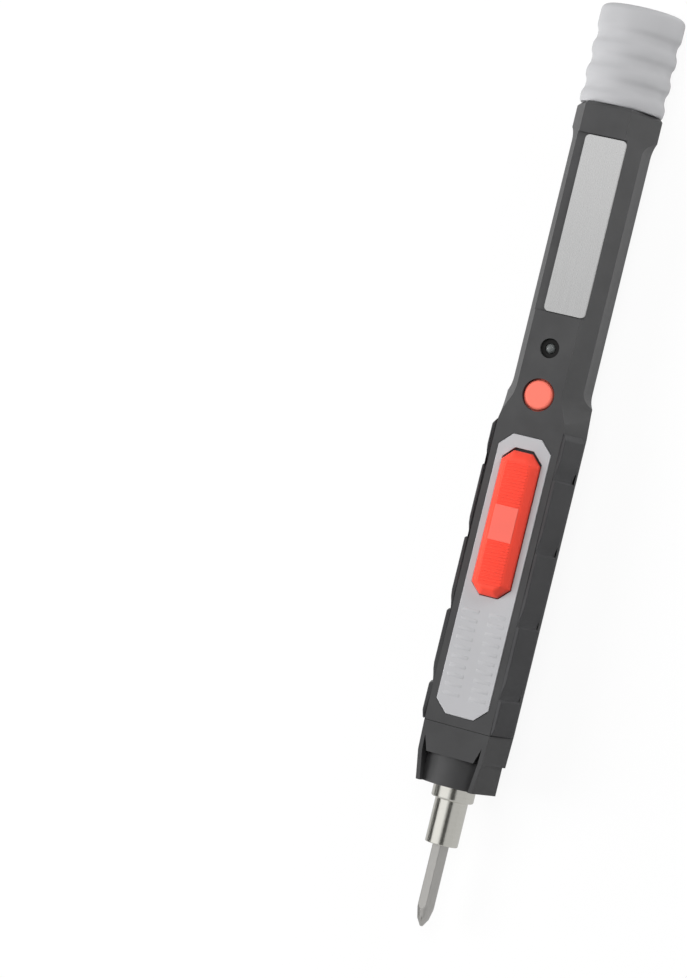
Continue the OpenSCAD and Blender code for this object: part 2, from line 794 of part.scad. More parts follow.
module plunger(z) {
  color([0.85, 0.85, 0.8]) lay()
    post(plunger_d / 2, 0, z, board_top + 0.1 + switch_travel + 0.05, plunger_top);
}
module forward_plunger() plunger(z_rocker - switch_offset);
module reverse_plunger() plunger(z_rocker + switch_offset);
module light_plunger() plunger(z_button);

module rocker() {
  corner = rocker_corner;
  shrink = (rocker_w - rocker_top_w) / 2;
  top_y = panel_top + rocker_proud;
  edge_y = panel_top + rocker_proud * 0.35;
  pad_rise = 0.15;
  z0 = z_rocker - rocker_len / 2;
  z1 = z_rocker + rocker_len / 2;
  foot_y = plunger_top + seat_gap + leg_r;
  color([0.9, 0.26, 0.2]) lay() difference() {
    union() {
      cut_corner_plate(rocker_w, z0, z1, corner, rocker_under_y, edge_y);
      hull() {
        cut_corner_plate(rocker_w, z0, z1, corner, edge_y - sliver, edge_y);
        cut_corner_plate(rocker_top_w, z0 + shrink, z1 - shrink, corner * 0.6, top_y - sliver, top_y);
      }
      block(-rocker_top_w / 2 + 0.4, rocker_top_w / 2 - 0.4, top_y - sliver, top_y + pad_rise,
        z_rocker - rocker_pad_len / 2, z_rocker + rocker_pad_len / 2);
      block(-web_w / 2, web_w / 2, pin_y, rocker_under_y + sliver, z_rocker - web_len / 2, z_rocker + web_len / 2);
      translate([0, pin_y, z_rocker]) rotate([0, 90, 0])
        cylinder(r = rocker_pin_d / 2 + 0.55, h = web_w, center = true);
      for (side = [-1, 1]) {
        block(-1.2, 1.2, foot_y, rocker_under_y + sliver,
          z_rocker + side * switch_offset - leg_r, z_rocker + side * switch_offset + leg_r);
        translate([0, foot_y, z_rocker + side * switch_offset]) rotate([0, 90, 0])
          cylinder(r = leg_r, h = 2.4, center = true);
      }
    }
    translate([0, pin_y, z_rocker]) rotate([0, 90, 0])
      cylinder(r = rocker_pin_d / 2 + run_gap, h = big, center = true);
  }
}

module rocker_pin() {
  color([0.7, 0.7, 0.72]) lay() translate([0, pin_y, z_rocker]) rotate([0, 90, 0])
    cylinder(d = rocker_pin_d, h = slot_w + 2 * ear_t - 0.2, center = true);
}

module light_button() {
  y_top = half_h - 0.1;
  edge = 0.5;
  color([0.92, 0.36, 0.3]) lay() union() {
    post(button_d / 2, 0, z_button, button_flange_y, y_top - edge);
    translate([0, y_top - edge, z_button]) rotate([-90, 0, 0])
      cylinder(r1 = button_d / 2, r2 = button_d / 2 - edge, h = edge);
    post(button_d / 2 + 0.9, 0, z_button, button_flange_y, ceiling_hi_y - seat_gap);
    post(plunger_d / 2 + 0.3, 0, z_button, button_foot_y, button_flange_y + sliver);
  }
}

module status_led() {
  color([0.75, 0.78, 0.78]) lay() union() {
    post(led_d / 2, 0, z_led, board_top, half_h - 1.2);
    post(led_d / 2 + 0.3, 0, z_led, board_top, board_top + 0.8);
    translate([0, half_h - 1.2, z_led]) sphere(d = led_d);
  }
}

// ---- Batteries and rear cap ----

module battery_tube() {
  color([0.55, 0.56, 0.58]) lay() difference() {
    union() {
      rod(tube_r, z_tube, z_neck_flange + 1);
      rod(neck_flange_d / 2, z_neck_flange, z_neck_flange + neck_flange_t);
      rod(neck_d / 2, z_neck_flange + neck_flange_t - sliver, z_neck_end);
    }
    rod(tube_r_in, z_tube - 1, z_neck_end + 1);
    block(strip_x - seat_gap, strip_x + strip_t + fit_gap, -strip_w / 2 - fit_gap, strip_w / 2 + fit_gap,
      z_neck_flange - 1, z_neck_end + 1);
    translate([0, 0, z_seal]) rotate_extrude() translate([neck_d / 2 + seal_r - seal_depth, 0])
      circle(r = seal_r + seat_gap);
  }
}

module front_contact() {
  color([0.8, 0.72, 0.4]) lay() union() {
    rod(tube_r_in - fit_gap, z_contact, z_contact + contact_t);
    block(-1.2, 1.2, 2, board_y - seat_gap, z_contact, z_contact + contact_t);
  }
}

module return_strip() {
  z_tab = z_bay_end - strip_tab_back;
  color([0.8, 0.72, 0.4]) lay() union() {
    block(strip_x, strip_x + strip_t, -strip_w / 2, strip_w / 2, z_tab, z_neck_end + strip_t + seat_gap);
    block(strip_x, strip_x + strip_t, 0, board_y - seat_gap, z_tab, z_tab + strip_tab_len);
    block(board_w / 2 - 0.6, strip_x + strip_t, board_y - seat_gap - strip_t, board_y - seat_gap,
      z_tab, z_tab + strip_tab_len);
    block(strip_x, cup_r + 0.3, -strip_w / 2, strip_w / 2, z_neck_end + seat_gap, z_neck_end + seat_gap + strip_t);
  }
}

module cell(z0) {
  color([0.25, 0.3, 0.36]) lay() union() {
    rod(cell_d / 2, z0 + cell_button_h, z0 + cell_len);
    rod(cell_button_d / 2, z0, z0 + cell_button_h + sliver);
  }
}
module cell_front() cell(z_cell);
module cell_rear() cell(z_cell + cell_len);

module cap_seal() {
  color([0.1, 0.1, 0.1]) lay() translate([0, 0, z_seal]) intersection() {
    rotate_extrude() translate([neck_d / 2 + seal_r - seal_depth, 0]) circle(r = seal_r);
    rod(cap_r_in - 0.02, -seal_r, seal_r);
  }
}

module cap_contact() {
  z_rim = z_neck_end + seat_gap + strip_t + run_gap;
  color([0.82, 0.82, 0.8]) lay() difference() {
    rod(cup_r, z_rim, z_cup_floor + cup_floor_t);
    rod(cup_r - cup_t, z_rim - 1, z_cup_floor);
  }
}

module cap_spring() {
  z0 = z_cells_end + fit_gap;
  color([0.8, 0.8, 0.82]) lay() translate([0, 0, z0])
    coil(2.2, 4, cap_wire, z_cup_floor - seat_gap - z0, 3);
}

// Outline of the cap: round ribs with grooves between them, then a plain end
function cap_radius(z) = let (wave = cap_pitch * cap_groove_n, t = z - z_cap - 1.6)
  t > wave ? cap_d / 2 : cap_d / 2 - cap_groove * (1 - cos(360 * t / cap_pitch)) / 2;
module rear_cap() {
  step = 0.76;
  z0 = z_cap + fit_gap;
  wave_end = z_cap + 1.6 + cap_pitch * cap_groove_n;
  n = floor((wave_end - z0) / step);
  color([0.74, 0.74, 0.75]) lay() difference() {
    rotate_extrude() polygon(concat(
      [[0, z0]],
      [for (i = [0:n]) let (z = mix(z0, wave_end, i / n)) [cap_radius(z), z]],
      [for (a = [0:18:90]) [cap_d / 2 - cap_edge_r * (1 - cos(a)), tool_length - cap_edge_r * (1 - sin(a))]],
      [[0, tool_length]]
    ));
    rod(cap_r_in, 0, z_neck_end + 2);
    rod(cup_r + seat_gap, z_cap, z_cap_floor);
  }
}

// ---- Gearbox and clutch ----

module gear_case() {
  z_fixed = z_ring + ring_w + planet_gap / 2;
  key_r = case_r_in + clutch_key_h;
  color([0.72, 0.72, 0.7]) lay() difference() {
    union() {
      rod(case_d / 2, z_case, z_cover);
      for (x = [-1, 1]) block(x * case_d / 2 - case_key_h, x * case_d / 2 + case_key_h,
        -case_key_w / 2, case_key_w / 2, z_seam + 1, z_cover);
    }
    rod(spindle_rear_d / 2 + move_gap, z_case - 1, z_cover);
    rod(case_r_in, z_spring, z_fixed);
    ring_space(z_fixed - 1, z_cover + 1);
    for (k = [0:clutch_key_n - 1]) rotate([0, 0, 360 * k / clutch_key_n])
      block(0, key_r, -clutch_key_w / 2 - fit_gap, clutch_key_w / 2 + fit_gap, z_spring, z_ring);
  }
}

module motor_plate() {
  color([0.65, 0.65, 0.66]) lay() difference() {
    rod(case_d / 2, z_cover, z_motor);
    rod(motor_boss_d / 2 + seat_gap, z_cover + cover_t - motor_boss_h - fit_gap, z_motor + 1);
    rod(sun_r + addendum + move_gap, z_cover - 1, z_motor + 1);
  }
}

// Radial ramps shared by the clutch plate and the ring gear
module ramps(z0, height, gap) {
  for (k = [0:clutch_ramp_n - 1]) rotate([0, 0, 360 * (k + 0.5) / clutch_ramp_n])
    translate([0, 0, z0]) rotate([90, 0, 90]) linear_extrude(big) polygon([
      [-clutch_ramp_w / 2 - gap, 0], [clutch_ramp_w / 2 + gap, 0],
      [clutch_ramp_w / 4 + gap, height], [-clutch_ramp_w / 4 - gap, height]
    ]);
}

module ring_gear() {
  color([0.78, 0.78, 0.76]) lay() difference() {
    rod(ring_out_r, z_ring, z_ring + ring_w);
    rod(rim_r_in, z_ring - 1, z_planet_out);
    ring_space(z_planet_out - planet_gap / 2, z_ring + ring_w + 1);
    ramps(z_ring - sliver, clutch_ramp + fit_gap, fit_gap);
  }
}

module clutch_plate() {
  color([0.6, 0.6, 0.62]) lay() difference() {
    union() {
      rod(case_r_in - run_gap, z_clutch, z_ring - seat_gap);
      intersection() {
        ramps(z_ring - seat_gap - sliver, clutch_ramp, 0);
        rod(case_r_in - run_gap, z_clutch, z_ring + 1);
      }
      for (k = [0:clutch_key_n - 1]) rotate([0, 0, 360 * k / clutch_key_n])
        block(0, case_r_in + clutch_key_h - fit_gap, -clutch_key_w / 2, clutch_key_w / 2,
          z_clutch + 0.2, z_ring - 0.2);
    }
    rod(rim_r_in, z_clutch - 1, z_ring + 1);
  }
}

module clutch_spring() {
  r = case_r_in - 0.4 - clutch_wire / 2;
  color([0.75, 0.75, 0.78]) lay() translate([0, 0, z_spring + seat_gap])
    coil(r, r, clutch_wire, clutch_spring_len - 2 * seat_gap, spring_turns);
}

module output_carrier() {
  color([0.8, 0.8, 0.78]) lay() difference() {
    union() {
      rod(carrier_r, z_carrier_out, z_carrier_out + carrier_t);
      for (k = [0:planet_n - 1]) at_planet(k, z_carrier_out)
        cylinder(d = planet_pin_d, h = carrier_t + planet_gap + gear_w);
    }
    block(-tang_w / 2 - seat_gap, tang_w / 2 + seat_gap, -tang_w / 2 - seat_gap, tang_w / 2 + seat_gap,
      z_carrier_out - 1, z_carrier_out + carrier_t + 1);
  }
}

module input_carrier() {
  color([0.8, 0.8, 0.78]) lay() union() {
    rod(carrier_r, z_carrier_in, z_carrier_in + carrier_t);
    translate([0, 0, z_planet_out]) gear(sun_z, gear_w + planet_gap + sliver);
    for (k = [0:planet_n - 1]) at_planet(k, z_carrier_in)
      cylinder(d = planet_pin_d, h = carrier_t + planet_gap + gear_w);
  }
}

module planet(k, z) {
  color([0.86, 0.86, 0.82]) lay() at_planet(k, z) difference() {
    gear(planet_z, gear_w);
    translate([0, 0, -1]) cylinder(r = planet_pin_d / 2 + run_gap, h = gear_w + 2);
  }
}
module output_planet_1() planet(0, z_planet_out);
module output_planet_2() planet(1, z_planet_out);
module output_planet_3() planet(2, z_planet_out);
module input_planet_1() planet(0, z_planet_in);
module input_planet_2() planet(1, z_planet_in);
module input_planet_3() planet(2, z_planet_in);

// ---- Motor ----

module motor_pinion() {
  color([0.85, 0.75, 0.4]) lay() difference() {
    translate([0, 0, z_planet_in]) gear(sun_z, gear_w);
    rod(motor_shaft_d / 2 + seat_gap, z_planet_in - 1, z_planet_in + gear_w + 1);
  }
}

module motor_shaft() {
  color([0.75, 0.75, 0.77]) lay() rod(motor_shaft_d / 2, z_planet_in + 0.1, z_motor_end - 0.3);
}

module motor_armature() {
  slots = 3;
  z0 = z_motor + can_wall + 1;
  color([0.6, 0.45, 0.3]) lay() difference() {
    union() {
      rod(armature_r, z0, z_can_end - 3.5);
      rod(2, z_can_end - 3.6, z_can_end - 0.6);
    }
    rod(motor_shaft_d / 2 + seat_gap, 0, tool_length);
    for (k = [0:slots - 1]) rotate([0, 0, 360 * k / slots])
      block(2.6, big, -0.6, 0.6, z0 - 1, z_can_end - 3.6);
  }
}

module motor_can() {
  color([0.75, 0.75, 0.76]) lay() difference() {
    union() {
      rod(motor_d / 2, z_motor + seat_gap, z_can_end);
      rod(motor_boss_d / 2, z_motor + seat_gap - motor_boss_h, z_motor + 1);
    }
    rod(motor_d / 2 - can_wall, z_motor + can_wall + seat_gap, z_can_end + 1);
    rod(motor_shaft_d / 2 + run_gap, 0, z_can_end);
  }
}

module motor_magnets() {
  r_out = motor_d / 2 - can_wall - seat_gap;
  z0 = z_motor + can_wall + 0.6;
  color([0.2, 0.2, 0.22]) lay() difference() {
    ring(r_out, r_out - magnet_wall, z0, z_can_end - 1);
    for (y = [-1, 1]) block(-3, 3, y * r_out - 5, y * r_out + 5, z0 - 1, z_can_end);
  }
}

module motor_endbell() {
  color([0.85, 0.85, 0.8]) lay() difference() {
    union() {
      rod(motor_d / 2 - 0.2, z_can_end + seat_gap, z_motor_end);
      for (x = [-1, 1]) block(x * terminal_x - terminal_w / 2, x * terminal_x + terminal_w / 2,
        -terminal_t / 2, terminal_t / 2, z_motor_end - 0.5, z_motor_end + terminal_len);
    }
    rod(motor_shaft_d / 2 + run_gap, z_can_end - 1, z_motor_end + 1);
  }
}

module motor_leads() {
  lead_r = 0.45;
  z = z_board + 0.9;
  y0 = terminal_t / 2 + seat_gap;
  color([0.8, 0.15, 0.12]) lay() for (x = [-1, 1]) union() {
    translate([x * terminal_x, y0 + lead_r, z_motor_end + 0.3]) cylinder(r = lead_r, h = z - z_motor_end - 0.3);
    translate([x * terminal_x, y0 + lead_r, z]) sphere(r = lead_r);
    post(lead_r, x * terminal_x, z, y0 + lead_r, board_y - seat_gap);
  }
}

// ---- Spindle, chuck and bit ----

module hex_rod(af, z0, z1) {
  rotate([0, 0, 90 + bit_clock]) translate([0, 0, z0]) cylinder(r = af / 2 / cos(30), h = z1 - z0, $fn = 6);
}

module spindle() {
  z_socket = bit_len + fit_gap;
  z_journal_end = z_case - 0.2;
  color([0.72, 0.72, 0.73]) lay() difference() {
    union() {
      rod(spindle_nose_d / 2, z_sleeve + 0.4, z_nose);
      rod(journal_d / 2, z_nose - thrust_gap, z_journal_end);
      rod(spindle_rear_d / 2, z_journal_end - 1, z_carrier_out - seat_gap);
      block(-tang_w / 2, tang_w / 2, -tang_w / 2, tang_w / 2, z_carrier_out - 1, z_carrier_out + carrier_t - 0.1);
    }
    hex_rod(bit_af + 2 * run_gap, 0, z_socket);
    rod(magnet_d / 2 + seat_gap, z_socket - 1, z_socket + magnet_t + seat_gap);
    ring(journal_d, journal_d / 2 - clip_groove, z_clip - clip_side_gap, z_clip + clip_t + clip_side_gap);
  }
}

module chuck_sleeve() {
  chamfer = 0.5;
  z_back = z_nose - thrust_gap - run_gap;
  color([0.8, 0.8, 0.78]) lay() difference() {
    union() {
      rod(sleeve_d / 2, z_sleeve, z_back);
      rod(flange_d / 2, z_flange + chamfer, z_back);
      translate([0, 0, z_flange])
        cylinder(r1 = flange_d / 2 - chamfer, r2 = flange_d / 2, h = chamfer + sliver);
    }
    rod(spindle_nose_d / 2 + seat_gap, 0, z_nose);
  }
}

module bit_magnet() {
  z0 = bit_len + fit_gap;
  color([0.6, 0.6, 0.62]) lay() rod(magnet_d / 2, z0 + seat_gap, z0 + magnet_t);
}

module spindle_bush() {
  color([0.72, 0.55, 0.3]) lay() difference() {
    union() {
      rod(bush_d / 2, z_bush, z_bush + bush_len);
      rod(bush_flange_d / 2, z_bush + bush_len - bush_flange_t, z_bush + bush_len);
    }
    rod(journal_d / 2 + run_gap, z_bush - 1, z_bush + bush_len + 1);
  }
}

module thrust_washer() {
  color([0.8, 0.8, 0.8]) lay() ring(washer_d / 2, journal_d / 2 + run_gap, z_washer, z_washer + washer_t);
}

module retaining_ring() {
  color([0.5, 0.5, 0.52]) lay() difference() {
    ring(clip_d / 2, journal_d / 2 - clip_groove + seat_gap, z_clip, z_clip + clip_t);
    span(z_clip - 1, z_clip + clip_t + 1) polygon([
      [0, 0], [clip_d * cos(clip_opening / 2), clip_d * sin(clip_opening / 2)],
      [clip_d * cos(clip_opening / 2), -clip_d * sin(clip_opening / 2)]
    ]);
  }
}

// Hexagonal bit that runs down to a cross-shaped point
module phillips_bit() {
  tip_r = 0.35;
  shoulder_r = bit_af / 2;
  core = 0.4;
  flute_angle = 15;
  color([0.68, 0.67, 0.66]) lay() difference() {
    intersection() {
      hex_rod(bit_af, 0, bit_len);
      rotate_extrude() polygon([
        [0, 0], [tip_r, 0], [shoulder_r * 0.72, bit_tip_len * 0.42], [shoulder_r, bit_tip_len],
        [shoulder_r / cos(30), bit_tip_len + 1.2], [shoulder_r / cos(30), bit_len - 0.4],
        [shoulder_r, bit_len], [0, bit_len]
      ]);
    }
    for (a = [0:90:270]) rotate([0, 0, a + 30 + bit_clock])
      translate([core, core, 0]) rotate([-flute_angle, flute_angle, 0]) translate([0, 0, -1])
        cube([big, big, bit_tip_len * 2]);
  }
}

front_shell();
back_shell();
nose_collar();
side_grip_left();
side_grip_right();
thumb_panel();
label_plate();
shell_screws();
circuit_board();
status_led();
forward_switch();
reverse_switch();
light_switch();
forward_plunger();
reverse_plunger();
light_plunger();
rocker();
rocker_pin();
light_button();
battery_tube();
front_contact();
return_strip();
cell_front();
cell_rear();
cap_seal();
cap_contact();
cap_spring();
rear_cap();
gear_case();
motor_plate();
ring_gear();
clutch_plate();
clutch_spring();
output_carrier();
output_planet_1();
output_planet_2();
output_planet_3();
input_carrier();
input_planet_1();
input_planet_2();
input_planet_3();
motor_pinion();
motor_shaft();
motor_armature();
motor_can();
motor_magnets();
motor_endbell();
motor_leads();
spindle();
chuck_sleeve();
bit_magnet();
spindle_bush();
thrust_washer();
retaining_ring();
phillips_bit();
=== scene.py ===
import math

import bmesh
import bpy
from mathutils import Euler, Matrix, Vector


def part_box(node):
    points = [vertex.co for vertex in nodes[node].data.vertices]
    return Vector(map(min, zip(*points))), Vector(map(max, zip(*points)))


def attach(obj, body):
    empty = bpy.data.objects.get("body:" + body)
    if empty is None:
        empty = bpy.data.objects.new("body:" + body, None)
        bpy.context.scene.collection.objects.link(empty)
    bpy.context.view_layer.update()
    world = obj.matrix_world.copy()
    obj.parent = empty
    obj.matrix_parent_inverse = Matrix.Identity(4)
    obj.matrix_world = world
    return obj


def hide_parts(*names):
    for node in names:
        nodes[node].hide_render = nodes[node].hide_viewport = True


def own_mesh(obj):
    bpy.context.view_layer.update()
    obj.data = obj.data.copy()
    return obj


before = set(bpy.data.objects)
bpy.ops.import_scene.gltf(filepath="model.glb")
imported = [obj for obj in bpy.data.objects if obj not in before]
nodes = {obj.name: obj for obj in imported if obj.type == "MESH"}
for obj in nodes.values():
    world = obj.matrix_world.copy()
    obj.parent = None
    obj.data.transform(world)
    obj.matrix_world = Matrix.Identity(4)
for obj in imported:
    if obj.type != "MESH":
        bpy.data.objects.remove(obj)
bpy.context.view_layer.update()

mm = 0.001

# ---- Camera ----
# A long lens, 85 cm from the middle of the tool and 16.6 degrees round to its right-hand side.
# It looks past the grip to leave room beside the tool, and leans the cap end to the right.
middle = Vector((-0.95 * mm, 0, 10.5 * mm))
side_angle = math.radians(16.6)
camera_distance = 0.85
lens_data = bpy.data.cameras.new("camera")
lens_data.lens = 128.9
lens_data.sensor_width = 36
lens_data.clip_start = 0.05
lens_data.clip_end = 20
camera = bpy.data.objects.new("camera", lens_data)
towards_camera = Vector((0, math.sin(side_angle), math.cos(side_angle)))
camera.location = middle + camera_distance * towards_camera
looked_at = Vector((15.56 * mm, -46.12 * mm, 10.5 * mm))
roll = math.radians(-79.379)
level = (looked_at - camera.location).to_track_quat("-Z", "Y")
camera.rotation_mode = "QUATERNION"
camera.rotation_quaternion = level @ Euler((0, 0, roll)).to_quaternion()
bpy.context.scene.collection.objects.link(camera)
bpy.context.scene.camera = camera
bpy.context.scene.view_settings.view_transform = "Standard"

# ---- Table and studio light ----
# A white table top and white walls. A broad soft lamp and a low one stand on the tool's left, a
# third hangs over it, and a small one fills the cap's right side. Black and white cards show in
# bright surfaces only, and the table keeps a faint shadow.


def sees_studio(tree):
    """Is the surface seen by the camera, in a reflection or through glass?"""
    path = tree.nodes.new("ShaderNodeLightPath")
    first = tree.nodes.new("ShaderNodeMath")
    first.operation = "MAXIMUM"
    tree.links.new(path.outputs["Is Camera Ray"], first.inputs[0])
    tree.links.new(path.outputs["Is Glossy Ray"], first.inputs[1])
    both = tree.nodes.new("ShaderNodeMath")
    both.operation = "MAXIMUM"
    tree.links.new(first.outputs[0], both.inputs[0])
    tree.links.new(path.outputs["Is Transmission Ray"], both.inputs[1])
    return both.outputs[0]


table_size = 6.0
table_glow = 0.92  # share of plain white where the table is seen
table_in_metal = 0.6  # how bright bare metal mirrors it
walls_lighting = 0.22
walls_seen = 0.6
bpy.ops.mesh.primitive_plane_add(size=table_size)
table = bpy.context.object
table.name = "table"
table_white = bpy.data.materials.new("table_white")
table_white.use_nodes = True
tree = table_white.node_tree
tree.nodes.clear()
matt = tree.nodes.new("ShaderNodeBsdfDiffuse")
matt.inputs["Color"].default_value = (0.9, 0.9, 0.9, 1)
bright = tree.nodes.new("ShaderNodeEmission")
bright.inputs["Color"].default_value = (1, 1, 1, 1)
mirrored = tree.nodes.new("ShaderNodeLightPath")
dimmer = tree.nodes.new("ShaderNodeMapRange")
dimmer.inputs["To Min"].default_value = 1
dimmer.inputs["To Max"].default_value = table_in_metal
tree.links.new(mirrored.outputs["Is Glossy Ray"], dimmer.inputs["Value"])
tree.links.new(dimmer.outputs["Result"], bright.inputs["Strength"])
share = tree.nodes.new("ShaderNodeMath")
share.operation = "MULTIPLY"
share.inputs[1].default_value = table_glow
tree.links.new(sees_studio(tree), share.inputs[0])
blend = tree.nodes.new("ShaderNodeMixShader")
tree.links.new(share.outputs[0], blend.inputs["Fac"])
tree.links.new(matt.outputs[0], blend.inputs[1])
tree.links.new(bright.outputs[0], blend.inputs[2])
output = tree.nodes.new("ShaderNodeOutputMaterial")
tree.links.new(blend.outputs[0], output.inputs["Surface"])
table.data.materials.append(table_white)

world = bpy.data.worlds.new("studio")
world.use_nodes = True
bpy.context.scene.world = world
tree = world.node_tree
walls = tree.nodes["Background"]
walls.inputs["Color"].default_value = (1, 1, 1, 1)
seen = tree.nodes.new("ShaderNodeMapRange")
seen.inputs["To Min"].default_value = walls_lighting
seen.inputs["To Max"].default_value = walls_seen
tree.links.new(sees_studio(tree), seen.inputs["Value"])
tree.links.new(seen.outputs["Result"], walls.inputs["Strength"])


def soft_lamp(name, place, size, watts, aim=middle):
    """A round lamp that lights the tool but shows in no mirroring surface."""
    lamp_data = bpy.data.lights.new(name, "AREA")
    lamp_data.shape = "DISK"
    lamp_data.size = size
    lamp_data.energy = watts
    lamp = bpy.data.objects.new(name, lamp_data)
    lamp.location = place
    lamp.rotation_mode = "QUATERNION"
    lamp.rotation_quaternion = (aim - lamp.location).to_track_quat("-Z", "Y")
    lamp.visible_glossy = False
    bpy.context.scene.collection.objects.link(lamp)


soft_lamp("left_lamp", Vector((0.1, -0.75, 0.75)), size=0.6, watts=7)
soft_lamp("low_lamp", Vector((0.25, -0.7, 0.1)), size=0.3, watts=5)
soft_lamp("top_lamp", Vector((-0.3, 0.1, 0.95)), size=0.5, watts=4)
soft_lamp("cap_fill", Vector((-0.25, 0.22, 0.15)), size=0.15, watts=0.5,
          aim=Vector((-0.1, 0, 0.01)))


def card(name, finish, place, length, width, facing):
    """A card along the tool that shows in bright surfaces and nowhere else."""
    bpy.ops.mesh.primitive_plane_add(size=1)
    board = bpy.context.object
    board.name = name
    board.location = place
    board.scale = (length, width, 1)
    board.rotation_mode = "QUATERNION"
    board.rotation_quaternion = facing.to_track_quat("-Z", "Y")
    board.data.materials.append(finish)
    board.visible_camera = False
    board.visible_shadow = False
    board.visible_diffuse = False
    board.visible_transmission = False


card_black = bpy.data.materials.new("card_black")
card_black.use_nodes = True
shader = card_black.node_tree.nodes["Principled BSDF"]
shader.inputs["Base Color"].default_value = (0.04, 0.04, 0.035, 1)
card_white = bpy.data.materials.new("card_white")
card_white.use_nodes = True
tree = card_white.node_tree
tree.nodes.clear()
glow = tree.nodes.new("ShaderNodeEmission")
glow.inputs["Color"].default_value = (1, 1, 1, 1)
glow.inputs["Strength"].default_value = 1.1
output = tree.nodes.new("ShaderNodeOutputMaterial")
tree.links.new(glow.outputs[0], output.inputs["Surface"])
behind_camera = middle + (camera.location - middle) * 1.05
card("card_over_tool", card_black, behind_camera, length=1.2, width=0.42,
     facing=middle - behind_camera)
card("card_on_left", card_black, Vector((0, -0.9, 0.15)), length=1.2, width=0.5,
     facing=Vector((0, 0.9, -0.15)))
upward = Vector((0, 0, 1))
card("card_by_nose", card_black, Vector((0.1, -0.1, 0.004)), length=0.1, width=0.12,
     facing=upward)
card("card_by_barrel", card_white, Vector((-0.06, 0.05, 0.001)), length=0.09, width=0.07,
     facing=upward)
for name, x in (("card_over_nose", 0.27), ("card_over_cap", -0.3)):
    card(name, card_white, Vector((x, -0.52, 0.74)), length=0.38, width=1,
         facing=Vector((0, 0.52, -0.74)))

# ---- Shells ----
# Two moulded halves of black glass-filled plastic that meet along the side edges. Their outer
# edges are rounded, and the skin has the fine grain of a sparked mould.


def place_texture(tree, scale):
    """Object coordinates in millimetres, stretched by scale."""
    where = tree.nodes.new("ShaderNodeTexCoord")
    stretch = tree.nodes.new("ShaderNodeMapping")
    stretch.inputs["Scale"].default_value = [s / mm for s in scale]
    tree.links.new(where.outputs["Object"], stretch.inputs["Vector"])
    return stretch.outputs["Vector"]


def noise(tree, per_mm, detail=3):
    """Cloudy values. per_mm gives how closely they change along x, y and z."""
    cloud = tree.nodes.new("ShaderNodeTexNoise")
    cloud.inputs["Scale"].default_value = 1
    cloud.inputs["Detail"].default_value = detail
    tree.links.new(place_texture(tree, per_mm), cloud.inputs["Vector"])
    return cloud.outputs["Fac"]


usual_low, usual_high = 0.3, 0.7  # where most values of a noise lie


def spread(tree, source, low, high):
    """A noise value spread between two values."""
    level = tree.nodes.new("ShaderNodeMapRange")
    level.inputs["From Min"].default_value = usual_low
    level.inputs["From Max"].default_value = usual_high
    level.inputs["To Min"].default_value = low
    level.inputs["To Max"].default_value = high
    tree.links.new(source, level.inputs["Value"])
    return level.outputs["Result"]


def shades(tree, source, dark, light):
    """Two shades of a colour, blended by a noise value."""
    ramp = tree.nodes.new("ShaderNodeValToRGB")
    ramp.color_ramp.elements[0].position = usual_low
    ramp.color_ramp.elements[0].color = (*dark, 1)
    ramp.color_ramp.elements[1].position = usual_high
    ramp.color_ramp.elements[1].color = (*light, 1)
    tree.links.new(source, ramp.inputs["Fac"])
    return ramp.outputs["Color"]


def relief(tree, source, depth_mm):
    """Fine bumps, too small to be cut in the form."""
    bump = tree.nodes.new("ShaderNodeBump")
    bump.inputs["Strength"].default_value = 1
    bump.inputs["Distance"].default_value = depth_mm * mm
    tree.links.new(source, bump.inputs["Height"])
    return bump.outputs["Normal"]


def surface(name, metallic=0, **constants):
    """A new material with its principled shader, and constants on the shader's own sockets."""
    material = bpy.data.materials.new(name)
    material.use_nodes = True
    shader = material.node_tree.nodes["Principled BSDF"]
    shader.inputs["Metallic"].default_value = metallic
    for socket, value in constants.items():
        shader.inputs[socket.replace("_", " ")].default_value = value
    return material, material.node_tree, shader


def moulded(name, colour, roughness, grain_mm=0.22, grain_depth=0.012, variation=0.12,
            **constants):
    """Moulded plastic or rubber: a fine mould grain and a faint cloudiness of colour and gloss."""
    material, tree, shader = surface(name, **constants)
    cloud = noise(tree, (0.12, 0.12, 0.12))
    dark = [c * (1 - variation) for c in colour]
    light = [min(1, c * (1 + variation)) for c in colour]
    tree.links.new(shades(tree, cloud, dark, light), shader.inputs["Base Color"])
    grain = noise(tree, [1 / grain_mm] * 3, 2)
    tree.links.new(spread(tree, cloud, roughness - 0.05, roughness + 0.05),
                   shader.inputs["Roughness"])
    tree.links.new(relief(tree, grain, grain_depth), shader.inputs["Normal"])
    return material


def finished(mesh, name, sharp_angle=None):
    """Makes a worked mesh an object, shaded smooth. Turns past sharp_angle stay sharp."""
    for face in mesh.faces:
        face.smooth = True
    data = bpy.data.meshes.new(name)
    mesh.to_mesh(data)
    mesh.free()
    if sharp_angle:
        data.set_sharp_from_angle(angle=math.radians(sharp_angle))
    piece = bpy.data.objects.new(name, data)
    bpy.context.scene.collection.objects.link(piece)
    return piece


def round_edges(piece, radius, keep_sharp):
    """Rounds a piece's weighted edges over, as far as there is room between them."""
    rounding = piece.modifiers.new("rounding", "BEVEL")
    rounding.limit_method = "WEIGHT"
    rounding.width = radius
    rounding.segments = 3
    rounding.use_clamp_overlap = True
    even = piece.modifiers.new("even_shading", "WEIGHTED_NORMAL")
    even.weight = 100
    even.keep_sharp = keep_sharp


same_face = math.radians(0.4)
outer_corner = math.radians(12)
shading_break = math.radians(28)


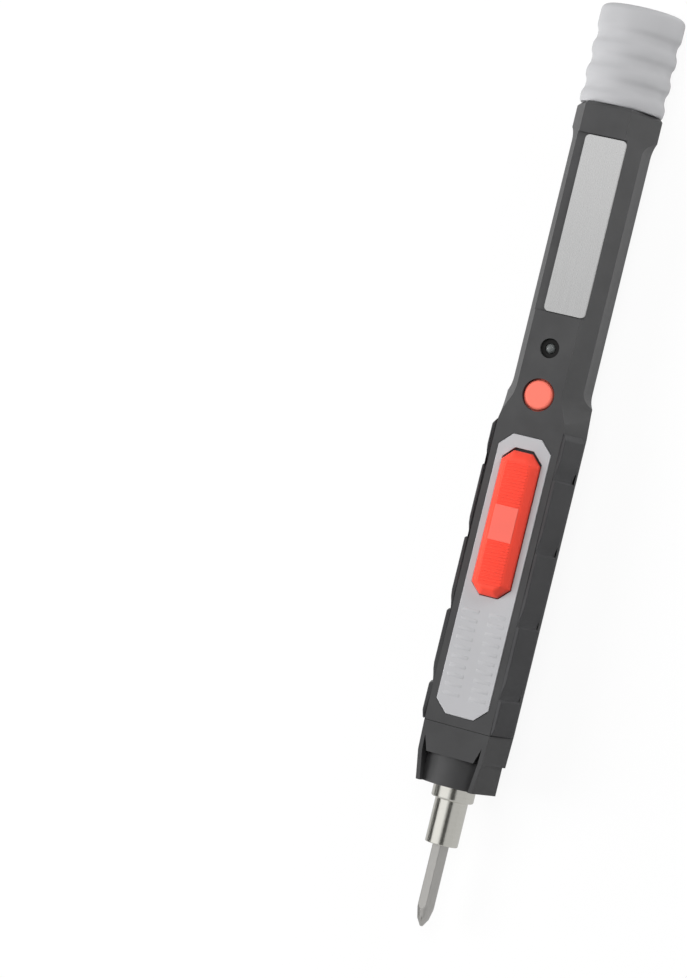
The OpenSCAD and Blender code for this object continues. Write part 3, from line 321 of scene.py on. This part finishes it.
def rounded_copy(node, name, radius_mm, weight_of, top=1):
    """The node's own form with its flat faces made whole and its outer edges rounded over.
    weight_of gives each sharp edge's share of the radius from its middle and its direction.
    What stands higher than top is pressed flat."""
    mesh = bmesh.new()
    mesh.from_mesh(nodes[node].data)
    for vertex in mesh.verts:
        vertex.co.z = min(vertex.co.z, top)
    bmesh.ops.remove_doubles(mesh, verts=mesh.verts, dist=0.002 * mm)
    bmesh.ops.dissolve_limit(mesh, angle_limit=same_face, verts=mesh.verts, edges=mesh.edges)
    weights = mesh.edges.layers.float.new("bevel_weight_edge")
    for edge in mesh.edges:
        turn = edge.calc_face_angle_signed(0)
        if turn > outer_corner:
            a, b = (v.co for v in edge.verts)
            edge[weights] = weight_of((a + b) / 2, (b - a).normalized())
        edge.smooth = abs(turn) < shading_break or edge[weights] > 0
    piece = finished(mesh, name)
    round_edges(piece, radius_mm * mm, True)
    return piece


def fit(piece, body, material, slot, *replaced):
    """Puts a finished piece on its body, with its material, in place of its plain nodes."""
    piece.data.materials.clear()
    piece.data.materials.append(material)
    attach(piece, body)
    if replaced:
        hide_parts(*replaced)
    return piece


axis_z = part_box("back_shell")[1].z


def off_axis(point):
    return math.hypot(point.y, point.z - axis_z)


grip_low, grip_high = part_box("side_grip_right")
seam_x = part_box("nose_collar")[0].x
inner_form_r = 8.7 * mm
front_flat_z = 20.8 * mm
near = 0.05 * mm


def shell_edge(point, along):
    """Full rounding on the outside, less where halves, nose and grips meet the shell."""
    if off_axis(point) < inner_form_r:
        return 0
    if abs(point.z - axis_z) < near or abs(point.x - seam_x) < 0.3 * mm:
        return 0.35
    between_grips = abs(point.y) < grip_low.y + 0.1 * mm and grip_low.x < point.x < grip_high.x
    if point.z > front_flat_z and between_grips:
        return 0.15
    return 1


shell_black = moulded("shell_black", (0.052, 0.052, 0.053), 0.45, Specular_IOR_Level=0.3)
shell_back = moulded("shell_back", (0.05, 0.05, 0.051), 0.45, Specular_IOR_Level=0.35)
front_half = rounded_copy("front_shell", "front_half", 0.35, shell_edge)
fit(front_half, "housing", shell_black, "shell_black", "front_shell")
back_half = rounded_copy("back_shell", "back_half", 0.35, shell_edge)
fit(back_half, "housing", shell_back, "shell_back", "back_shell")

# ---- Nose collar ----
# A separate moulding of the same black plastic, pushed over the shells' spigot. Its cheeks carry
# on the line of the side grips down to the round front band.
nose_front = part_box("nose_collar")[1].x
cheek_inside = 6.5 * mm


def nose_edge(point, along):
    """The cheeks' front corners are rounded most."""
    if point.x > nose_front - near and abs(point.y) > cheek_inside:
        return 1
    return 0.45 * shell_edge(point, along)


nose = rounded_copy("nose_collar", "nose", 0.9, nose_edge)
fit(nose, "housing", shell_black, "shell_black", "nose_collar")

# ---- Side grips ----
# Two strips of soft black rubber moulded onto the sloping sides of the front half, each with
# scooped finger notches. Rubber is duller and a little lighter than the shell.


def every_edge(point, along):
    return 1


def outer_edge(point, along):
    """The rubber stays sharp where it meets the shell."""
    return 0 if abs(point.y) < grip_low.y + 0.1 * mm else 1


grip_rubber = moulded("grip_rubber", (0.052, 0.052, 0.054), 0.6, grain_mm=0.15, grain_depth=0.01,
                      Specular_IOR_Level=0.25)
for side in ("left", "right"):
    grip = rounded_copy(f"side_grip_{side}", f"grip_{side}", 0.45, outer_edge)
    fit(grip, "housing", grip_rubber, "grip_rubber", f"side_grip_{side}")

# ---- Thumb panel ----
# A light grey soft plate with cut corners, glued into the pocket on the front. Two columns of low
# ribs are moulded into the part ahead of the rocker.
rib_pitch = 2.29 * mm
rib_count = 10
rib_columns = (-3.4 * mm, 3.4 * mm)
rib_root = 0.15 * mm
first_rib = 4.9 * mm  # behind the panel's front edge
# Places along a rib in shares of its length, and how full it is there.
rib_ends = ((-0.5, 0.25), (-0.47, 0.9), (-0.44, 1), (0.44, 1), (0.47, 0.9), (0.5, 0.25))


def rib_bars(name, stations, columns, length, width, height, top):
    """Low round-topped bars that lie across the tool at each station and column."""
    mesh = bmesh.new()
    steps = 8
    for x in stations:
        for y in columns:
            rings = []
            for end, shrink in rib_ends:
                ring = []
                for i in range(steps + 1):
                    turn = math.pi * i / steps
                    ring.append(mesh.verts.new((
                        x + shrink * math.cos(turn) * width / 2,
                        y + end * length,
                        top - rib_root + shrink * (rib_root + height) * math.sin(turn))))
                rings.append(ring)
            for a, b in zip(rings, rings[1:]):
                for i in range(steps + 1):
                    j = (i + 1) % (steps + 1)
                    mesh.faces.new((a[i], a[j], b[j], b[i]))
            mesh.faces.new(rings[0][::-1])
            mesh.faces.new(rings[-1])
    bmesh.ops.recalc_face_normals(mesh, faces=mesh.faces)
    return finished(mesh, name, 60)


panel_grey = moulded("panel_grey", (0.42, 0.42, 0.433), 0.6, grain_mm=0.3, grain_depth=0.008,
                     variation=0.03, Specular_IOR_Level=0.3)
panel = rounded_copy("thumb_panel", "panel", 0.15, every_edge)
fit(panel, "housing", panel_grey, "panel_grey", "thumb_panel")
panel_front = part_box("thumb_panel")[1].x
rib_stations = [panel_front - first_rib - i * rib_pitch for i in range(rib_count)]
panel_ribs = rib_bars("panel_ribs", rib_stations, rib_columns, length=4.4 * mm, width=1.3 * mm,
                      height=0.07 * mm, top=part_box("thumb_panel")[1].z)
fit(panel_ribs, "housing", panel_grey, "panel_grey")

# ---- Rocker ----
# The red forward and reverse key tips on a steel pin. Fine ribs cross its top ahead of and behind
# a smooth pad, and its feet press two plungers on the board.


def satin(name, colour, roughness, **constants):
    """Hard plastic from a polished mould."""
    return moulded(name, colour, roughness, grain_mm=0.4, grain_depth=0.004, variation=0.03,
                   **constants)


rocker_red = satin("rocker_red", (0.85, 0.064, 0.036), 0.45, Specular_IOR_Level=0.4)
# The pad is the same red plastic. This paler copy is painted sheen on its smooth top.
rocker_pad_sheen = satin("rocker_pad_sheen", (0.8, 0.135, 0.1), 0.5)
key_low, key_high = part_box("rocker")
pad_rise = 0.15 * mm
pad_x = (key_low.x + key_high.x) / 2
plateau = key_high.z - pad_rise
key_rim = 2.2 * mm  # how far down the key's sides stand free


def key_edge(point, along):
    return 1 if point.z > plateau - key_rim else 0


key = rounded_copy("rocker", "rocker_key", 0.55, key_edge, plateau)
fit(key, "rocker", rocker_red, "rocker_red", "rocker")
key_rib_pitch = 0.77 * mm
key_rib_count = 14
first_key_rib = 4.75 * mm  # from the middle of the pad
key_stations = [pad_x + side * (first_key_rib + i * key_rib_pitch)
                for side in (-1, 1) for i in range(key_rib_count)]
key_ribs = rib_bars("rocker_ribs", key_stations, [0], length=6.2 * mm, width=0.55 * mm,
                    height=0.19 * mm, top=plateau)
fit(key_ribs, "rocker", rocker_red, "rocker_red")


def plate(name, low, high, edge):
    """A flat block between two corners with its upper edges rounded."""
    mesh = bmesh.new()
    block = Matrix.Translation((low + high) / 2) @ Matrix.Diagonal((*(high - low), 1))
    bmesh.ops.create_cube(mesh, size=1, matrix=block)
    weights = mesh.edges.layers.float.new("bevel_weight_edge")
    for side in mesh.edges:
        a, b = (v.co for v in side.verts)
        side[weights] = 1 if (a.z + b.z) / 2 > low.z + edge * 0.1 else 0
    piece = finished(mesh, name)
    round_edges(piece, edge, False)
    return piece


pad_half = Vector((4.3 * mm, 2.95 * mm, 0))
pad_root = 0.2 * mm
# The pad wears the paler red copy: painted sheen.
pad = plate("rocker_pad", Vector((pad_x, 0, plateau - pad_root)) - pad_half,
            Vector((pad_x, 0, key_high.z - 0.005 * mm)) + pad_half, 0.12 * mm)
fit(pad, "rocker", rocker_pad_sheen, "rocker_red")

# ---- Light button ----
# A round red key moulded with its own spring hinge. It stands flush in its bore and presses the
# small switch below it.
button_red = satin("button_red", (0.83, 0.17, 0.12), 0.42)
button_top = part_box("light_button")[1].z


def button_edge(point, along):
    return 1 if point.z > button_top - 1 * mm else 0


button = rounded_copy("light_button", "button", 0.3, button_edge)
fit(button, "light_button", button_red, "button_red", "light_button")

# ---- Label ----
# A thin plate of brushed aluminium with round corners, stamped from sheet and left bare. It is
# glued on the barrel's flat.


def metal(name, colour, roughness, marks_mm, mark_depth=0.003, variation=0.06, **constants):
    """Bare metal with fine marks. marks_mm gives the spacing of the marks along x, y and z."""
    material, tree, shader = surface(name, 1, **constants)
    marks = noise(tree, [1 / spacing for spacing in marks_mm], 4)
    dark = [c * (1 - variation) for c in colour]
    light = [min(1, c * (1 + variation)) for c in colour]
    tree.links.new(shades(tree, marks, dark, light), shader.inputs["Base Color"])
    tree.links.new(spread(tree, marks, roughness - 0.03, roughness + 0.03),
                   shader.inputs["Roughness"])
    tree.links.new(relief(tree, marks, mark_depth), shader.inputs["Normal"])
    return material


label_silver = metal("label_silver", (0.62, 0.62, 0.62), 0.27, (12, 0.12, 0.12),
                     mark_depth=0.001, variation=0.04)
label = rounded_copy("label_plate", "label", 0.1, every_edge)
fit(label, "housing", label_silver, "label_silver", "label_plate")

# ---- Status light ----
# A clear moulded light pipe from a lamp on the board. Its domed end sits in a round recess. A flat
# black ring laid round it on the recess floor is painted shade, standing for the recess's shadow.
led_clear, tree, shader = surface("led_clear", 0, Roughness=0.12, IOR=1.49,
                                  Transmission_Weight=0.6)
haze = noise(tree, (0.8, 0.8, 0.8))
tree.links.new(shades(tree, haze, (0.24, 0.26, 0.26), (0.34, 0.36, 0.36)),
               shader.inputs["Base Color"])


def paint(material, *names):
    """Gives plain nodes their finish."""
    for name in names:
        nodes[name].material_slots[0].material = material


def washer(name, centre, inner, outer, thickness, edge, steps=48):
    """A flat ring that lies around an upright axis, with its upper edges cut back."""
    mesh = bmesh.new()
    profile = [(inner, 0), (outer, 0), (outer, thickness - edge), (outer - edge, thickness),
               (inner + edge, thickness), (inner, thickness - edge)]
    turns = [math.tau * i / steps for i in range(steps)]
    rings = [[mesh.verts.new((centre.x + radius * math.cos(turn),
                              centre.y + radius * math.sin(turn), centre.z + height))
              for turn in turns] for radius, height in profile]
    for a, b in zip(rings, rings[1:] + rings[:1]):
        for i in range(steps):
            j = (i + 1) % steps
            mesh.faces.new((a[i], a[j], b[j], b[i]))
    bmesh.ops.recalc_face_normals(mesh, faces=mesh.faces)
    return finished(mesh, name, 30)


paint(led_clear, "status_led")
led_low, led_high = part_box("status_led")
led_r = 1.2 * mm
led_floor = Vector(((led_low.x + led_high.x) / 2, 0, led_high.z - led_r))
# Painted shade: a near-black ring on the recess floor in place of the recess's own shadow.
led_recess_shade = washer("led_recess_shade", led_floor, led_r + 0.05 * mm, led_r + 1.15 * mm,
                  thickness=0.35 * mm, edge=0.1 * mm)
# Near-black finish of the ring that paints the recess shade.
recess_shade_black = moulded("recess_shade_black", (0.012, 0.012, 0.012), 0.6, Specular_IOR_Level=0.2)
fit(led_recess_shade, "housing", recess_shade_black, "switch_black")

# ---- Screws, pin and small steel parts ----
# Zinc-plated steel: the cross-head screws that clamp the shells, the rocker's pin, the motor's
# front plate and shaft, and the thrust washer.
screw_steel = metal("screw_steel", (0.42, 0.42, 0.43), 0.34, (0.3, 0.3, 0.3), variation=0.12)
paint(screw_steel, "shell_screws", "rocker_pin", "motor_plate", "motor_shaft", "thrust_washer")

# ---- Circuit board and switches ----
# A glass-fibre board under green solder mask with a grid of tracks. Three small moulded switches
# with ivory plungers stand on it, below the rocker and the button.
board_green, tree, shader = surface("board_green", 0, Roughness=0.3)
tracks = tree.nodes.new("ShaderNodeTexBrick")
tracks.inputs["Color1"].default_value = (0.022, 0.13, 0.05, 1)
tracks.inputs["Color2"].default_value = (0.026, 0.145, 0.056, 1)
tracks.inputs["Mortar"].default_value = (0.05, 0.22, 0.085, 1)
tracks.inputs["Scale"].default_value = 1
tracks.inputs["Mortar Size"].default_value = 0.1
tracks.inputs["Brick Width"].default_value = 4.6
tracks.inputs["Row Height"].default_value = 0.9
tree.links.new(place_texture(tree, (1, 1, 1)), tracks.inputs["Vector"])
tree.links.new(tracks.outputs["Color"], shader.inputs["Base Color"])
tree.links.new(relief(tree, tracks.outputs["Fac"], 0.02), shader.inputs["Normal"])
paint(board_green, "circuit_board")
switch_black = moulded("switch_black", (0.03, 0.03, 0.03), 0.5)
paint(switch_black, "forward_switch", "reverse_switch", "light_switch")
plunger_ivory = moulded("plunger_ivory", (0.7, 0.67, 0.55), 0.45, variation=0.05)
paint(plunger_ivory, "forward_plunger", "reverse_plunger", "light_plunger", "motor_endbell")

# ---- Battery tube and contacts ----
# A grey moulded tube holds two cells in line. A plated brass stud meets the front cell, and a
# brass strip runs back along the tube to the contact in the cap.
tube_grey = moulded("tube_grey", (0.3, 0.31, 0.33), 0.5, variation=0.05)
paint(tube_grey, "battery_tube")
contact_brass = metal("contact_brass", (0.75, 0.6, 0.3), 0.3, (0.2, 1.5, 1.5))
paint(contact_brass, "front_contact", "return_strip", "motor_pinion")

# ---- Cells ----
# Two small dry cells in a shrunk wrap: plain dark blue over most of the length, copper coloured
# next to the positive end.
cell_wrap, tree, shader = surface("cell_wrap", 0.6, Roughness=0.28)
cell_low, cell_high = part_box("cell_front")
where = tree.nodes.new("ShaderNodeTexCoord")
along = tree.nodes.new("ShaderNodeSeparateXYZ")
tree.links.new(where.outputs["Object"], along.inputs[0])
share = tree.nodes.new("ShaderNodeMapRange")
share.inputs["From Min"].default_value = cell_high.x
share.inputs["From Max"].default_value = cell_low.x
tree.links.new(along.outputs["X"], share.inputs["Value"])
share.clamp = False
repeat = tree.nodes.new("ShaderNodeMath")
repeat.operation = "FRACT"
tree.links.new(share.outputs["Result"], repeat.inputs[0])
bands = tree.nodes.new("ShaderNodeValToRGB")
bands.color_ramp.interpolation = "CONSTANT"
bands.color_ramp.elements[0].color = (0.55, 0.27, 0.12, 1)
bands.color_ramp.elements[1].position = 0.27
bands.color_ramp.elements[1].color = (0.03, 0.05, 0.09, 1)
tree.links.new(repeat.outputs[0], bands.inputs["Fac"])
tree.links.new(bands.outputs["Color"], shader.inputs["Base Color"])
paint(cell_wrap, "cell_front", "cell_rear")

# ---- Rear cap ----
# A hollow cap of satin light grey plastic that screws onto the tube's neck over a black rubber
# ring. Three round grooves give a grip. Inside sit the nickel-plated contact cup and its spring.
cap_low, cap_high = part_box("rear_cap")
cap_r = (cap_high.y - cap_low.y) / 2
groove_pitch = 6.1 * mm
groove_depth = 0.6 * mm
groove_count = 3
first_crest = 1.55 * mm
cap_edge_r = 1.6 * mm
mouth_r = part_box("cap_seal")[1].y + 0.15 * mm
cup_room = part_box("cap_contact")[1].y + 0.1 * mm


def lathe(name, profile, steps=120):
    """Turns (place along x, radius) points about the tool's own axis."""
    mesh = bmesh.new()
    turns = [math.tau * i / steps for i in range(steps)]
    rings = []
    for x, radius in profile:
        if radius == 0:
            rings.append([mesh.verts.new((x, 0, axis_z))])
            continue
        rings.append([mesh.verts.new((x, radius * math.cos(turn), axis_z + radius * math.sin(turn)))
                      for turn in turns])
    for a, b in zip(rings, rings[1:]):
        for i in range(steps):
            j = (i + 1) % steps
            if len(a) == 1:
                mesh.faces.new((a[0], b[j], b[i]))
            elif len(b) == 1:
                mesh.faces.new((a[i], a[j], b[0]))
            else:
                mesh.faces.new((a[i], a[j], b[j], b[i]))
    bmesh.ops.recalc_face_normals(mesh, faces=mesh.faces)
    return finished(mesh, name, 30)


def groove_share(distance):
    """0 on a crest and 1 in a groove, with a round crest and a round floor."""
    wave = (1 - math.cos(math.tau * distance / groove_pitch)) / 2
    return wave * wave * (3 - 2 * wave)


groove_steps = 16 * groove_count
edge_steps = 8
cap_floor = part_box("cap_contact")[0].x - 0.2 * mm
neck_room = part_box("battery_tube")[0].x - 2 * mm
# The rounding at the mouth: how far back from it, and how far down from a crest.
mouth_edge = ((0, 0.45 * mm), (0.12 * mm, 0.3 * mm), (0.5 * mm, 0.12 * mm))
cap_profile = [(cap_floor, 0), (cap_floor, cup_room), (neck_room, cup_room), (neck_room, mouth_r),
               (cap_high.x, mouth_r)]
cap_profile += [(cap_high.x - back, cap_r - down) for back, down in mouth_edge]
for i in range(groove_steps + 1):
    distance = groove_count * groove_pitch * i / groove_steps
    cap_profile.append((cap_high.x - first_crest - distance,
                        cap_r - groove_depth * groove_share(distance)))
for i in range(edge_steps + 1):
    turn = math.pi / 2 * i / edge_steps
    cap_profile.append((cap_low.x + cap_edge_r * (1 - math.sin(turn)),
                        cap_r - cap_edge_r * (1 - math.cos(turn))))
cap_profile.append((cap_low.x, 0))
cap_grey = moulded("cap_grey", (0.375, 0.375, 0.385), 0.5, grain_mm=0.35, grain_depth=0.006,
                   variation=0.02, Specular_IOR_Level=0.35)
cap = lathe("cap", cap_profile)
fit(cap, "rear_cap", cap_grey, "cap_grey", "rear_cap")
seal_black = moulded("seal_black", (0.012, 0.012, 0.012), 0.6)
paint(seal_black, "cap_seal")
contact_steel = metal("contact_steel", (0.62, 0.61, 0.58), 0.28, (0.25, 2, 2))
paint(contact_steel, "cap_contact")
spring_steel = metal("spring_steel", (0.5, 0.5, 0.52), 0.3, (0.6, 0.6, 0.6))
paint(spring_steel, "cap_spring", "retaining_ring")

# ---- Gearbox and clutch ----
# A glass-filled nylon case around two planet stages: a nylon one next to the motor, and a
# sintered steel one ahead of it. A spring presses the steel clutch plate onto the ring gear.
case_nylon = moulded("case_nylon", (0.42, 0.42, 0.4), 0.55, variation=0.06)
paint(case_nylon, "gear_case")
gear_steel = metal("gear_steel", (0.46, 0.46, 0.46), 0.42, (0.4, 0.4, 0.4),
                   mark_depth=0.008, variation=0.12)
gear_nylon = moulded("gear_nylon", (0.7, 0.69, 0.6), 0.42, variation=0.04)
paint(gear_steel, "ring_gear", "clutch_plate", "output_carrier", "spindle")
paint(gear_nylon, "input_carrier")
for i in (1, 2, 3):
    paint(gear_steel, f"output_planet_{i}")
    paint(gear_nylon, f"input_planet_{i}")

# ---- Clutch spring ----
# A spring wound from round steel wire. Its front end stays seated in the case. It is a plain
# copy carried on the housing, at its own length.
spring = bpy.data.objects.new("pressed_spring", nodes["clutch_spring"].data.copy())
bpy.context.scene.collection.objects.link(spring)
fit(spring, "housing", spring_steel, "spring_steel", "clutch_spring")
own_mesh(spring)

# ---- Motor ----
# A small brushed motor: zinc-plated can, ferrite magnets, an armature of varnished copper on
# iron, a moulded end bell and two insulated leads to the board.
motor_steel = metal("motor_steel", (0.5, 0.5, 0.51), 0.3, (0.25, 2, 2), variation=0.08)
paint(motor_steel, "motor_can")
magnet_dark = moulded("magnet_dark", (0.04, 0.04, 0.045), 0.55)
paint(magnet_dark, "motor_magnets", "bit_magnet")
armature = metal("armature", (0.42, 0.17, 0.07), 0.35, (6, 0.25, 0.25),
                 mark_depth=0.03, variation=0.35)
paint(armature, "motor_armature")
lead_red = moulded("lead_red", (0.6, 0.03, 0.02), 0.4)
paint(lead_red, "motor_leads")

# ---- Spindle nose ----
# The steel spindle turns in a sintered bronze bush. A turned and nickel-plated sleeve covers the
# bit holder in front of the nose collar.
bush_bronze = metal("bush_bronze", (0.5, 0.3, 0.12), 0.45, (0.3, 0.3, 0.3),
                    mark_depth=0.006, variation=0.12)
paint(bush_bronze, "spindle_bush")
nickel = metal("nickel", (0.72, 0.71, 0.66), 0.22, (0.15, 6, 6),
               mark_depth=0.0015, variation=0.03)
sleeve_low, sleeve_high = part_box("chuck_sleeve")
ring_points = [(v.co.x, off_axis(v.co)) for v in nodes["chuck_sleeve"].data.vertices]
flange_r = max(r for x, r in ring_points)
flange_x = max(x for x, r in ring_points if r > flange_r - 0.02 * mm)
slim_r = max(r for x, r in ring_points if x > sleeve_high.x - 0.5 * mm)
sleeve_bore_r = min(r for x, r in ring_points)
rear_edge = 0.2 * mm
flange_edge = 0.45 * mm
step_edge = 0.15 * mm
slim_edge = 0.25 * mm
quarter = [math.pi / 2 * i / 5 for i in range(6)]
sleeve = lathe("sleeve", [
    (sleeve_low.x, sleeve_bore_r),
    (sleeve_low.x, flange_r - rear_edge),
    (sleeve_low.x + rear_edge, flange_r),
    *((flange_x + flange_edge * math.sin(turn), flange_r - flange_edge * (1 - math.cos(turn)))
      for turn in quarter),
    (flange_x + flange_edge, slim_r + step_edge),
    (flange_x + flange_edge + step_edge, slim_r),
    *((sleeve_high.x - slim_edge * (1 - math.sin(turn)), slim_r - slim_edge * (1 - math.cos(turn)))
      for turn in quarter),
    (sleeve_high.x, sleeve_bore_r),
    (sleeve_low.x, sleeve_bore_r)])
fit(sleeve, "spindle", nickel, "nickel", "chuck_sleeve")

# ---- Bit ----
# A slim hexagon bit with a ground cross-head tip, in satin hardened steel. It pulls out of the
# magnetic holder.
bit_steel = metal("bit_steel", (0.55, 0.54, 0.52), 0.42, (2.5, 0.3, 0.3),
                  mark_depth=0.001, variation=0.05)


def lengthwise_edge(point, along):
    return 1 if abs(along.x) > 0.99 else 0


bit = rounded_copy("phillips_bit", "bit_in_holder", 0.2, lengthwise_edge)
fit(bit, "bit", bit_steel, "bit_steel", "phillips_bit")
